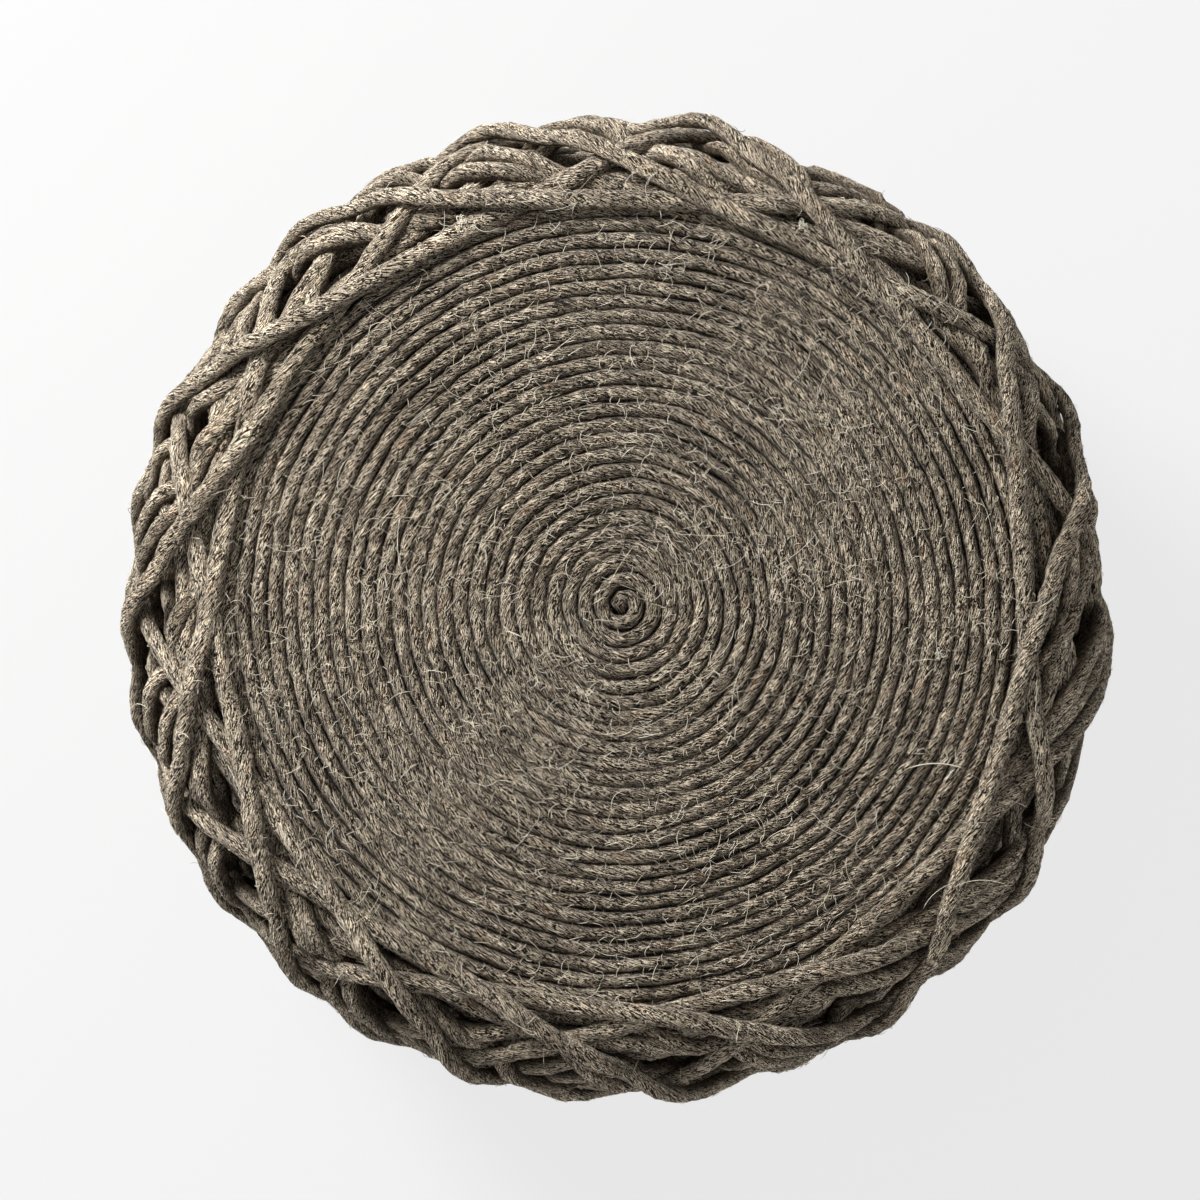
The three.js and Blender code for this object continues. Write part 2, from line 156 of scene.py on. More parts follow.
def bed_arcs():
    """The outline that the outer yarn lies on, from the crown down to the tuck, as round arcs that
    run into each other, and its length. Each arc is (centre, radius, first normal, last normal,
    where it starts)."""
    side_radius = SIDE_HEIGHT / (math.sin(SIDE_TOP_TILT) + math.sin(SIDE_FOOT_TILT))
    side_bow = side_radius * (1 - math.cos(SIDE_TOP_TILT))
    shoulder_width = BEDDED_RADIUS - side_bow - CROWN_RADIUS
    shoulder_radius = shoulder_width / (math.cos(SIDE_TOP_TILT) - math.sin(CROWN_SLOPE))
    arcs = []
    point = np.array([0, CROWN_TOP])
    normal = math.pi / 2
    start = 0
    for radius, last in (
        (CROWN_RADIUS / math.sin(CROWN_SLOPE), math.pi / 2 - CROWN_SLOPE),
        (shoulder_radius, SIDE_TOP_TILT),
        (side_radius, -SIDE_FOOT_TILT),
        (TUCK_RADIUS, -TUCK_ANGLE),
    ):
        centre = point - radius * np.array([math.cos(normal), math.sin(normal)])
        arcs.append((centre, radius, normal, last, start))
        start += radius * (normal - last)
        point = centre + radius * np.array([math.cos(last), math.sin(last)])
        normal = last
    return arcs, start


BED_ARCS, BED_LENGTH = bed_arcs()
BED_TABLE = np.linspace(0, BED_LENGTH / 2, BED_TABLE_ROWS)


def bed_at(length):
    """Distance from the axis and height of the bed at each distance along its outline, and the
    outward and upward parts of its normal there."""
    length = np.clip(length, 0, BED_LENGTH)
    radius = np.zeros_like(length)
    height = np.zeros_like(length)
    normal = np.zeros_like(length)
    for centre, arc_radius, first, last, start in BED_ARCS:
        here = length >= start
        turned = np.clip(first - (length - start) / arc_radius, last, first)
        radius = np.where(here, centre[0] + arc_radius * np.cos(turned), radius)
        height = np.where(here, centre[1] + arc_radius * np.sin(turned), height)
        normal = np.where(here, turned, normal)
    return radius, height, np.cos(normal), np.sin(normal)


def length_at_radius(radius):
    """How far along its outline the upper half of the bed reaches a distance from the axis."""
    return np.interp(radius, bed_at(BED_TABLE)[0], BED_TABLE)


def bed_height(radius):
    """The bed's height on top of the pouf, at a distance from the axis."""
    return bed_at(length_at_radius(radius))[1]


def core_outline():
    """The core's outline as (distance from the axis, height), from the top to the underside."""
    under_coil = bed_height(UNDER_COIL_RADII) - COIL_THICKNESS - SEAT_GAP
    points = list(zip(UNDER_COIL_RADII, under_coil))
    down = np.linspace(length_at_radius(CORE_EDGE_RADIUS), BED_LENGTH, CORE_EDGE_ROWS)
    radius, height, outward, upward = bed_at(down)
    points += list(zip(radius - CORE_DEPTH * outward, height - CORE_DEPTH * upward))
    points += [
        (FOOT_RADIUS, FOOT_HEIGHT),
        (FOOT_RADIUS, FOOT_ROUNDING),
        (FOOT_RADIUS - FOOT_CUT, FOOT_CUT),
        (FOOT_RADIUS - FOOT_ROUNDING, 0),
        (FOOT_RADIUS / 2, 0),
        (0, 0),
    ]
    return points


def spun(outline, steps):
    """A closed round mesh, spun from an outline whose ends lie on the axis."""
    form = bmesh.new()
    outline_points = [form.verts.new((radius, 0, height)) for radius, height in outline]
    edges = [form.edges.new(pair) for pair in zip(outline_points, outline_points[1:])]
    bmesh.ops.spin(
        form,
        geom=outline_points + edges,
        axis=(0, 0, 1),
        cent=(0, 0, 0),
        steps=steps,
        angle=2 * math.pi,
        use_merge=True,
    )
    bmesh.ops.remove_doubles(form, verts=form.verts, dist=MERGED_WITHIN)
    bmesh.ops.recalc_face_normals(form, faces=form.faces)
    return form


def linear(red, green, blue):
    """A screen colour, each part from 0 to 255, as the light that it stands for."""
    parts = (red / 255, green / 255, blue / 255)
    return tuple(c / 12.92 if c <= 0.04045 else ((c + 0.055) / 1.055) ** 2.4 for c in parts)


BLACK = (0, 0, 0)
WHITE = (1, 1, 1)
DARK_FIBRE = linear(22, 16, 9)
BROWN_FIBRE = linear(72, 59, 45)
GREY_FIBRE = linear(117, 103, 85)
BEIGE_FIBRE = linear(176, 162, 139)
CREAM_FIBRE = linear(252, 241, 217)
FOXY_FIBRE = linear(140, 102, 66)

# The grains of the wool: how many to a metre across its fibres, and how many along them
SWIRL_GRAIN = (150, 60)
FIBRE_GRAIN = (3200, 170)
SLANTING_GRAIN = (2400, 120)
TONE_GRAIN = (90, 30)
PATCH_GRAIN = (190, 60)

SWIRL_SIZE = 2.2 * MM
FIBRE_STRENGTH = 2.2
FIBRE_RANGE = 0.47
# Slanting fibres wind about the yarn's middle by this many radians in each metre of yarn
FIBRE_SWINGS = (-90, 110)
FIBRE_COLOURS = (
    (0.385, DARK_FIBRE),
    (0.418, BROWN_FIBRE),
    (0.447, GREY_FIBRE),
    (0.467, BEIGE_FIBRE),
    (0.483, CREAM_FIBRE),
)
SLOW_TINTS = (
    (0.32, (0.66, 0.63, 0.58)),
    (0.5, (1, 0.98, 0.95)),
    (0.68, (1.3, 1.28, 1.23)),
)
FOXY_PATCHES = ((0.62, BLACK), (0.74, WHITE))
FOXY_STRENGTH = 0.28
SHADE_WARMTH = (1, 0.96, 0.95)
# Painted shade: how dark a yarn's colour is made low on its sides, where shade falls between yarns
PAINTED_SHADE_COLOURS = ((0, (0.28, 0.24, 0.19)), (1, WHITE))
FIBRE_RELIEF = 1.4 * MM
CORE_SHADE = 0.8
WOOL_FINISH = {
    "Roughness": 0.95,
    "Specular IOR Level": 0.15,
    "Sheen Weight": 0.1,
    "Sheen Roughness": 0.5,
}


class Wool:
    """The nodes of one felted wool material, joined up by short calls."""

    def __init__(self, name):
        self.material = bpy.data.materials.new(name)
        self.material.use_nodes = True
        self.tree = self.material.node_tree
        self.shader = self.tree.nodes["Principled BSDF"]

    def node(self, kind, **settings):
        """A new node of a kind, with these settings."""
        made = self.tree.nodes.new("ShaderNode" + kind)
        for setting, value in settings.items():
            setattr(made, setting, value)
        return made

    def join(self, output, made, socket):
        """Joins an output to a node's socket."""
        self.tree.links.new(output, made.inputs[socket])

    def fill(self, made, values):
        """Fills sockets, by number, each with an output, a plain number or a colour."""
        for socket, value in values.items():
            if isinstance(value, (int, float)):
                made.inputs[socket].default_value = value
            elif isinstance(value, tuple):
                made.inputs[socket].default_value = (*value, 1)
            else:
                self.join(value, made, socket)

    def grain(self, place, across, along, detail=1.0, colour=False):
        """Uneven grain, so many to a metre across the fibres and along them."""
        stretched = self.node("Mapping")
        stretched.inputs["Scale"].default_value = (across, across, along)
        self.join(place, stretched, "Vector")
        made = self.node("TexNoise", noise_dimensions="3D")
        made.inputs["Scale"].default_value = 1
        made.inputs["Detail"].default_value = detail
        self.join(stretched.outputs["Vector"], made, "Vector")
        return made.outputs["Color" if colour else "Fac"]

    def maths(self, operation, first, second=0):
        """The result of a sum on two values."""
        made = self.node("Math", operation=operation)
        self.fill(made, {0: first, 1: second})
        return made.outputs[0]

    def ramp(self, factor, stops):
        """The colour at a factor, out of (position, colour) stops."""
        made = self.node("ValToRGB")
        elements = made.color_ramp.elements
        while len(elements) < len(stops):
            elements.new(0.5)
        for element, (position, colour) in zip(elements, stops):
            element.position = position
            element.color = (*colour, 1)
        self.join(factor, made, "Fac")
        return made.outputs["Color"]

    def mixed(self, factor, first, second):
        """One colour turned into another by a factor. Sockets 6 and 7 are the two colours, and
        output 2 is the mixed one."""
        made = self.node("Mix", data_type="RGBA")
        self.fill(made, {0: factor, 6: first, 7: second})
        return made.outputs[2]

    def multiplied(self, first, second):
        """Two colours multiplied, by the same sockets."""
        made = self.node("Mix", data_type="RGBA", blend_type="MULTIPLY")
        self.fill(made, {0: 1.0, 6: first, 7: second})
        return made.outputs[2]

    def finish(self, colour, finish):
        """Gives the shader its colour and its other values, and hands over the material."""
        self.join(colour, self.shader, "Base Color")
        for name, value in finish.items():
            self.shader.inputs[name].default_value = value
        return self.material


def fibre_tone(wool, place):
    """How pale the wool is at a place. Its fibres run along the third part of their coordinates,
    some of them slanting to either side, so that pale ones cross over dark ones."""
    swirl = wool.node("VectorMath", operation="MULTIPLY_ADD")
    wool.join(wool.grain(place, *SWIRL_GRAIN, detail=0, colour=True), swirl, 0)
    swirl.inputs[1].default_value = (SWIRL_SIZE, SWIRL_SIZE, SWIRL_SIZE)
    wool.join(place, swirl, 2)
    swirled = swirl.outputs["Vector"]
    parts = wool.node("SeparateXYZ")
    wool.join(place, parts, "Vector")

    tone = wool.maths("MULTIPLY", wool.grain(swirled, *FIBRE_GRAIN), FIBRE_STRENGTH)
    for swing in FIBRE_SWINGS:
        turned = wool.node("VectorRotate", rotation_type="Z_AXIS")
        wool.join(swirled, turned, "Vector")
        wool.join(wool.maths("MULTIPLY", parts.outputs["Z"], swing), turned, "Angle")
        streaks = wool.grain(turned.outputs["Vector"], *SLANTING_GRAIN, detail=0)
        from_middle = wool.maths("ABSOLUTE", wool.maths("SUBTRACT", streaks, 0.5))
        tone = wool.maths("SUBTRACT", tone, from_middle)
    return wool.maths("MULTIPLY", tone, FIBRE_RANGE)


def wool_material(name, on_yarn, shade):
    """Heathered grey-brown wool, with slow changes of tone and a few foxy patches. On yarn, painted
    shade darkens the colour low on its sides, in the grooves and under crossing yarns, where shade
    falls."""
    wool = Wool(name)
    if on_yarn:
        place = wool.node("Attribute", attribute_name="fibre").outputs["Vector"]
    else:
        place = wool.node("TexCoord").outputs["Object"]

    tone = fibre_tone(wool, place)
    tint = wool.ramp(wool.grain(place, *TONE_GRAIN, detail=2), SLOW_TINTS)
    colour = wool.multiplied(wool.ramp(tone, FIBRE_COLOURS), tint)
    patches = wool.ramp(wool.grain(place, *PATCH_GRAIN), FOXY_PATCHES)
    colour = wool.mixed(wool.maths("MULTIPLY", patches, FOXY_STRENGTH), colour, FOXY_FIBRE)
    colour = wool.multiplied(colour, tuple(shade * part for part in SHADE_WARMTH))
    if on_yarn:
        # Painted shade: the colour is darkened low on each yarn's sides, in grooves and under
        # crossing yarns
        free_of_painted_shade = wool.node("Attribute", attribute_name="free_of_painted_shade").outputs["Fac"]
        colour = wool.multiplied(colour, wool.ramp(free_of_painted_shade, PAINTED_SHADE_COLOURS))

    bump = wool.node("Bump")
    bump.inputs["Strength"].default_value = 1.0
    bump.inputs["Distance"].default_value = FIBRE_RELIEF
    wool.join(tone, bump, "Height")
    wool.join(bump.outputs["Normal"], wool.shader, "Normal")
    return wool.finish(colour, WOOL_FINISH)


core_form = spun(core_outline(), CORE_STEPS)
core = show("filled_core", bpy.data.meshes.new("filled_core"))
core_form.to_mesh(core.data)
core_form.free()
core.data.shade_smooth()
core.data.materials.append(wool_material("felted_wool", False, CORE_SHADE))
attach(core, "root")
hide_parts("filled_body")


# The earlier turns. Many turns of the same yarn are wound on before the outer ones, each up the side
# on a slant, past the coil and down again. They show between the outer turns as two layers of
# crossing yarn with small dark pits, and they give way where an outer turn presses on them.
YARN_TURN = 67 * MM
YARN_SQUARENESS = 2.1
PLIES = 3
PLY_RELIEF = 0.045
LUMP_RELIEF = 0.07
LUMP_WAVES = np.array([23, 17, 12, 9, 7, 5.5]) * MM
LUMP_LOBES = (1, 5)
LUMP_SUM = 3
SWELL = 0.07
SWELL_WAVE = 30 * MM
PRESS = 0.05
PRESS_WAVE = 17 * MM
LEAST_ROUNDED = 0.02
# Painted shade low on a yarn's sides: how much less of it where the yarn is full, and over what
# height it fades
LESS_PAINTED_SHADE_WHEN_FULL = 3
PAINTED_SHADE_FADE = 0.65
SAME_HEIGHT = 0.001

# How noise is read, and how far one yarn's lies from the next one's
NOISE_RANGE = 1.6
NOISE_ROW = 7.3
NOISE_LAYER = 0.5
ROWS_A_YARN = 3
LUMP_SHIFT = 0.39
FIBRE_SHIFT = 0.237

LOW_LEVEL = 4.5 * MM
HIGH_LEVEL = 12.6 * MM
SIDE_LEAN = math.radians(45)
PATH_STEP = 1 * MM
END_STEPS = 20
SMOOTHING_STEPS = 6
HALVINGS = 40
WANDER = 0.8 * MM
WANDER_WAVE = math.radians(15)
TUCKED_RADIUS = 178 * MM
TUCKED_HEIGHT = 9 * MM
TUCKED_TURN = math.radians(4)

# The outer wraps' routes are worked out first, because the earlier turns lie under them: each wrap's
# compass angle in degrees where it runs beside the coil, its distance from the axis there, and
# whether it was wound on after the others.
WRAPS = (
    {"azimuth": 5, "tangent_radius": 201 * MM, "wound_last": True},
    {"azimuth": 42, "tangent_radius": 202.5 * MM, "wound_last": False},
    {"azimuth": 66, "tangent_radius": 202.5 * MM, "wound_last": False},
    {"azimuth": 90, "tangent_radius": 202.5 * MM, "wound_last": False},
    {"azimuth": 119, "tangent_radius": 201.5 * MM, "wound_last": False},
    {"azimuth": 146, "tangent_radius": 202.5 * MM, "wound_last": False},
    {"azimuth": 170, "tangent_radius": 203 * MM, "wound_last": False},
    {"azimuth": 193, "tangent_radius": 202.5 * MM, "wound_last": False},
    {"azimuth": 216, "tangent_radius": 202.5 * MM, "wound_last": False},
    {"azimuth": 240, "tangent_radius": 201.5 * MM, "wound_last": False},
    {"azimuth": 263, "tangent_radius": 201 * MM, "wound_last": False},
    {"azimuth": 286, "tangent_radius": 202.5 * MM, "wound_last": False},
    {"azimuth": 312, "tangent_radius": 202.5 * MM, "wound_last": False},
    {"azimuth": 342, "tangent_radius": 201 * MM, "wound_last": True},
)
WRAP_YARN = {
    "steps": (7, 50),
    "sides": 16,
    "width": 10.3 * MM,
    "thickness": 7.8 * MM,
    "end_length": 4 * MM,
    "painted_shade_up_to": -0.6,
}
PLATEAU_SHARE = 0.8
END_MARGIN = math.radians(6)
SAG_SHARE = 0.14
LEAST_SAGGING_ANGLE = math.radians(3)
SINK_BESIDE_COIL = 5 * MM
SINK_REACH = math.radians(30)

EARLIER_YARN = {
    "width": 10.3 * MM,
    "thickness": 8 * MM,
    "end_length": 4 * MM,
    "painted_shade_up_to": 0.15,
}
EARLIER_LAYERS = (
    {
        "name": "first_turns",
        "count": 40,
        "first_azimuth": math.radians(9.2),
        "tangent_radii": (208 * MM, 219 * MM, 213 * MM, 224 * MM),
        "beside_coil": -14 * MM,
        "low": -27 * MM,
        "high": -19.5 * MM,
        "yarn": {**EARLIER_YARN, "steps": (2, 50), "sides": 8},
        "seed": 11,
    },
    {
        "name": "earlier_turns",
        "count": 36,
        "first_azimuth": math.radians(-1.5),
        "tangent_radii": (206 * MM, 216 * MM, 210 * MM, 221 * MM),
        "beside_coil": -3 * MM,
        "low": -8.5 * MM,
        "high": -3 * MM,
        "yarn": {**EARLIER_YARN, "steps": (4, 50), "sides": 12},
        "seed": 23,
    },
)
TURNOVER = math.radians(20)
LEVEL_SPREAD = 1.5 * MM
AZIMUTH_SPREAD = math.radians(2)
TANGENT_SPREAD = 2 * MM
TOP_EARLIER_LEVEL = -4 * MM
LAYER_STEP = 8.1 * MM
PRESSED_REACH = 5 * MM
FREE_REACH = 19 * MM
FREE_RISE = 16 * MM
MOST_RISE = 10 * MM
MOST_SINK = 3.5 * MM
# Painted light: the side yarn's copy of the wool is made paler than the top coil's, which is the same
# yarn
SIDE_YARN_PAINTED_LIGHT = 1.06


def eased(share):
    """A smooth change from 0 at no share to 1 at a whole one."""
    share = np.clip(share, 0, 1)
    return share * share * (3 - 2 * share)


def smoothed(values):
    """Values along a path, each replaced by a weighted mean of those around it."""
    weights = np.cos(np.linspace(-1, 1, 2 * SMOOTHING_STEPS + 3)[1:-1] * math.pi / 2) ** 2
    padded = np.pad(values, SMOOTHING_STEPS, mode="edge")
    return np.convolve(padded, weights / weights.sum(), mode="valid")


def uneven(distance, wave, row):
    """Smooth uneven values from about -1 to 1 along a yarn, one swell for each wave."""
    places = ((d / wave, row * NOISE_ROW, NOISE_LAYER) for d in distance)
    return np.array([noise.noise(place) for place in places]) * NOISE_RANGE


def lumps(distance, angle, chance):
    """Low uneven lumps over a yarn's surface, from about -1 to 1, as a sum of a few slanting
    waves of different lengths."""
    total = np.zeros_like(distance)
    for wave in LUMP_WAVES:
        lobes = chance.integers(*LUMP_LOBES) * chance.choice((-1, 1))
        start = chance.uniform(0, 2 * math.pi)
        total += np.sin(2 * math.pi * distance / wave + lobes * angle + start)
    return total / LUMP_SUM


def ring_count(yarn):
    """How many rings of points there are along a yarn."""
    return math.prod(yarn["steps"]) + 1


def evenly_spaced(points, normals, count):
    """A line's points and normals again at equal steps, and the distance along it."""
    steps = np.linalg.norm(np.diff(points, axis=0), axis=1)
    distance = np.append(0, np.cumsum(steps))
    wanted = np.linspace(0, distance[-1], count)
    again = [
        np.stack([np.interp(wanted, distance, column) for column in values.T], axis=1)
        for values in (points, normals)
    ]
    return (*again, wanted)


def tube_bundle(name, count, yarn):
    """Equal closed tubes in one mesh, for yarns or hairs, and the tube, the ring and the angle
    round the tube of each of its points. Each tube is one long, with its middle at the origin. It
    is cut into the first number of steps, and each of those into the next."""
    sides = yarn["sides"]
    tube = bmesh.new()
    bmesh.ops.create_cone(tube, cap_ends=True, segments=sides, radius1=1, radius2=1, depth=1)
    for parts in yarn["steps"]:
        along = [e for e in tube.edges if abs(e.verts[0].co.z - e.verts[1].co.z) > SAME_HEIGHT]
        bmesh.ops.subdivide_edges(tube, edges=along, cuts=parts - 1, use_grid_fill=True)
    lone = show(name, bpy.data.meshes.new(name))
    tube.to_mesh(lone.data)
    tube.free()
    array = lone.modifiers.new("side_by_side", "ARRAY")
    array.count = count
    array.use_relative_offset = False
    evaluated = lone.evaluated_get(bpy.context.evaluated_depsgraph_get())
    mesh = bpy.data.meshes.new_from_object(evaluated)
    bpy.data.objects.remove(lone)
    mesh.name = name

    places = np.empty(3 * len(mesh.vertices), np.float32)
    mesh.vertices.foreach_get("co", places)
    places = places.reshape(-1, 3)
    rings = ring_count(yarn)
    ring = np.rint((places[:, 2] + 0.5) * (rings - 1)).astype(int)
    angle = np.arctan2(places[:, 1], places[:, 0])
    tube_number = np.arange(len(places)) // (rings * sides)
    return mesh, (tube_number, ring), angle


def ways_from(centre, outward):
    """The ways along lines, across them and out of them, each a whole one."""
    along = np.gradient(centre, axis=1)
    along /= np.linalg.norm(along, axis=2, keepdims=True)
    across = np.cross(outward, along)
    across /= np.linalg.norm(across, axis=2, keepdims=True)
    return along, across, np.cross(along, across)


def rounded_square(part):
    """A cosine or sine round a yarn, drawn out towards the corners of a square."""
    return np.sign(part) * np.abs(part) ** (2 / YARN_SQUARENESS)


def write_attribute(mesh, name, kind, field, values):
    """Puts a value at each of a mesh's points, for its material."""
    attribute = mesh.attributes.new(name, kind, "POINT")
    attribute.data.foreach_set(field, values.astype(np.float32).ravel())


def lay_yarn(mesh, at, angle, lines, yarn, seed, full):
    """Puts a bundle's points on twisted yarn along these lines, swollen by a share where it is full.
    Writes where each point is among the fibres, across them and along them, and how free of painted
    shade it is: its colour is painted darker low on its sides, as shade, up to a share of its
    height, and less where it is full. Gives the points, and the ways out of the surface and along the
    yarn."""
    centre, outward, distance = (np.stack(values) for values in zip(*lines))
    along, across, out = ways_from(centre, outward)
    rows = seed + ROWS_A_YARN * np.arange(len(lines))
    swell = np.stack([1 + SWELL * uneven(d, SWELL_WAVE, row) for d, row in zip(distance, rows)])
    press = np.stack([1 + PRESS * uneven(d, PRESS_WAVE, row + 1) for d, row in zip(distance, rows)])
    to_end = np.minimum(distance, distance[:, -1:] - distance)
    rounded = np.sqrt(1 - (1 - np.clip(to_end / yarn["end_length"], LEAST_ROUNDED, 1)) ** 2)

    tube = at[0]
    turned = angle - 2 * math.pi * distance[at] / YARN_TURN
    lumpy = lumps(distance[at] + LUMP_SHIFT * tube, turned, np.random.default_rng(seed))
    relief = 1 + PLY_RELIEF * np.cos(PLIES * turned) + LUMP_RELIEF * lumpy
    extra = np.broadcast_to(full, distance.shape)[at]
    size = (swell * rounded)[at] * relief * (1 + extra)
    sideways = rounded_square(np.cos(angle)) * size * yarn["width"] / 2 * press[at]
    upwards = rounded_square(np.sin(angle)) * size * yarn["thickness"] / 2 / press[at]
    places = centre[at] + across[at] * sideways[:, None] + out[at] * upwards[:, None]
    mesh.vertices.foreach_set("co", places.astype(np.float32).ravel())

    from_middle = np.hypot(sideways, upwards)
    along_fibres = distance[at] + (seed + tube) * FIBRE_SHIFT
    fibre = [from_middle * np.cos(turned), from_middle * np.sin(turned), along_fibres]
    write_attribute(mesh, "fibre", "FLOAT_VECTOR", "vector", np.stack(fibre, axis=1))
    # Painted shade: points low on a yarn's sides get a darker colour, where shade falls, and less
    # where the yarn is full
    above_painted_shade = np.sin(angle) - yarn["painted_shade_up_to"] + LESS_PAINTED_SHADE_WHEN_FULL * extra
    write_attribute(mesh, "free_of_painted_shade", "FLOAT", "value", eased(above_painted_shade / PAINTED_SHADE_FADE))
    mesh.shade_smooth()
    mesh.update()
    ways_out = across[at] * np.cos(angle)[:, None] + out[at] * np.sin(angle)[:, None]
    return places, ways_out, along[at]


def yarn_piece(name, yarn, lines, material, seed, full=0):
    """A piece made of yarns or hairs along these lines, and its surface."""
    mesh, at, angle = tube_bundle(name, len(lines), yarn)
    surface = lay_yarn(mesh, at, angle, lines, yarn, seed, full)
    mesh.materials.append(material)
    return show(name, mesh), surface


def high_outline(length):
    """Distance from the axis and height of the outline that the middles of high wraps follow."""
    radius, height, outward, upward = bed_at(length)
    return radius + HIGH_LEVEL * outward, height + HIGH_LEVEL * upward


def wrap_half(tangent_radius):
    """One half of a wrap, from where it runs beside the coil down to the tuck. Seen from above a
    high one runs straight until it is over the shoulder, and it goes down the side at a steady
    lean. Gives the angle turned round the pouf and the distance down the bed."""
    start = float(np.interp(tangent_radius, high_outline(BED_TABLE)[0], BED_TABLE))
    length = np.append(np.arange(start, BED_LENGTH, PATH_STEP), BED_LENGTH)
    radius, height = high_outline(length)
    step = np.hypot(np.diff(radius), np.diff(height))
    radius = np.maximum(radius, tangent_radius)
    straight = np.diff(np.arccos(tangent_radius / radius))
    steady = math.tan(SIDE_LEAN) * step / radius[1:]
    return np.append(0, np.cumsum(np.maximum(straight, steady))), length


def length_when_turned(half, turned):
    """The distance down the bed at which a wrap's half has turned by an angle, also a little past
    its end."""
    angles, lengths = half
    past = max(turned - angles[-1], 0)
    slope = (lengths[-1] - lengths[-END_STEPS]) / (angles[-1] - angles[-END_STEPS])
    return float(np.interp(turned, angles, lengths)) + past * slope


def meeting_angle(half, other_half, apart):
    """The angle turned by one wrap's half where it meets another's, which starts that far off and
    comes the other way."""
    low, high = 0, apart
    for _ in range(HALVINGS):
        middle = (low + high) / 2
        if length_when_turned(half, middle) > length_when_turned(other_half, apart - middle):
            high = middle
        else:
            low = middle
    return (low + high) / 2


def counter_clockwise_lies_over(wrap, other):
    """Whether the half of a wrap that goes down counter-clockwise lies over another's half that
    goes down clockwise."""
    return wrap["wound_last"] or not other["wound_last"]


def crossing_reach(half, turned):
    """The half-angle over which a wrap is level where it crosses another."""
    angles, lengths = half
    length = length_when_turned(half, turned)
    ahead, behind = np.interp((length + PATH_STEP, length - PATH_STEP), lengths, angles)
    radius = float(bed_at(np.array(length))[0])
    lean = math.atan(max((ahead - behind) * radius / (2 * PATH_STEP), 1))
    return WRAP_YARN["width"] / 2 * math.tan(lean) * PLATEAU_SHARE * math.sin(lean) / radius


def level_knots(wrap):
    """Angles along a wrap, in order, and its level at each. It lies low beside the coil, it is level
    where it crosses another wrap, and it sags from one high crossing to the next."""
    knots = [(0, LOW_LEVEL)]
    half = wrap_half(wrap["tangent_radius"])
    for side in (-1, 1):
        for other in WRAPS:
            if other is wrap:
                continue
            apart = math.radians(side * (other["azimuth"] - wrap["azimuth"])) % (2 * math.pi)
            other_half = wrap_half(other["tangent_radius"])
            turned = meeting_angle(half, other_half, apart)
            if max(turned - half[0][-1], apart - turned - other_half[0][-1]) > END_MARGIN:
                continue
            if side > 0:
                over = counter_clockwise_lies_over(wrap, other)
            else:
                over = not counter_clockwise_lies_over(other, wrap)
            level = HIGH_LEVEL if over else LOW_LEVEL
            reach = crossing_reach(half, turned)
            knots += [(side * (turned - reach), level), (side * (turned + reach), level)]
    knots.sort()
    for (first, level), (last, next_level) in list(zip(knots, knots[1:])):
        if level == next_level == HIGH_LEVEL and last - first > LEAST_SAGGING_ANGLE:
            sag = min(SAG_SHARE * BEDDED_RADIUS * (last - first), HIGH_LEVEL - LOW_LEVEL)
            knots.append(((first + last) / 2, level - sag))
    return sorted(knots)


def bed_points(length, azimuth, offset):
    """Points in space at an offset outside the bed, and the bed's normals there."""
    radius, height, outward, upward = bed_at(length)
    normals = np.stack([outward * np.cos(azimuth), outward * np.sin(azimuth), upward], axis=-1)
    on_bed = np.stack([radius * np.cos(azimuth), radius * np.sin(azimuth), height], axis=-1)
    return on_bed + offset[..., None] * normals, normals


def wrap_line(azimuth, tangent_radius, level_at, rings, row):
    """The middle line of a whole wrap. Its level comes from the angles along it and its points on
    the bed, and its ends go on under the pouf, into the core's foot."""
    turned, length = wrap_half(tangent_radius)
    angle = np.concatenate([-turned[:0:-1], turned])
    length = np.concatenate([length[:0:-1], length])
    length = length + WANDER * uneven(angle, WANDER_WAVE, row)
    on_bed, _ = bed_points(length, azimuth + angle, np.zeros_like(length))
    level = smoothed(level_at(angle, on_bed))
    points, normals = bed_points(length, azimuth + angle, level)
    first_end, last_end = (
        (TUCKED_RADIUS * math.cos(turned_to), TUCKED_RADIUS * math.sin(turned_to), TUCKED_HEIGHT)
        for turned_to in (azimuth + angle[0] - TUCKED_TURN, azimuth + angle[-1] + TUCKED_TURN)
    )
    points = np.vstack([first_end, points, last_end])
    normals = np.vstack([normals[:1], normals, normals[-1:]])
    return evenly_spaced(points, normals, rings)


def outer_wrap_line(wrap, row):
    """The middle line of an outer wrap, and its places on the bed with its level at each."""
    angles, levels = zip(*level_knots(wrap))
    pressed = []

    def level_at(turned, on_bed):
        level = np.interp(turned, angles, levels)
        level -= SINK_BESIDE_COIL * (1 - eased(np.abs(turned) / SINK_REACH))
        pressed.extend(zip(on_bed, level))
        return level

    azimuth = math.radians(wrap["azimuth"])
    line = wrap_line(azimuth, wrap["tangent_radius"], level_at, ring_count(WRAP_YARN), row)
    return line, pressed


outer_lines = []
pressing = []
for number, wrap in enumerate(WRAPS, start=1):
    line, pressed = outer_wrap_line(wrap, number)
    outer_lines.append(line)
    pressing += pressed

pressing_tree = KDTree(len(pressing))
for number, (place, _) in enumerate(pressing):
    pressing_tree.insert(place, number)
pressing_tree.balance()


def rise_between_outer_wraps(place):
    """How far the earlier turns stand above their own level at a place on the bed: they swell up
    to fill the room between the outer wraps, and sink under them."""
    room = MOST_RISE
    for _, number, apart in pressing_tree.find_range(place, FREE_REACH):
        freed = eased((apart - PRESSED_REACH) / (FREE_REACH - PRESSED_REACH))
        room = min(room, pressing[number][1] - LAYER_STEP - TOP_EARLIER_LEVEL + FREE_RISE * freed)
    return max(room, -MOST_SINK)


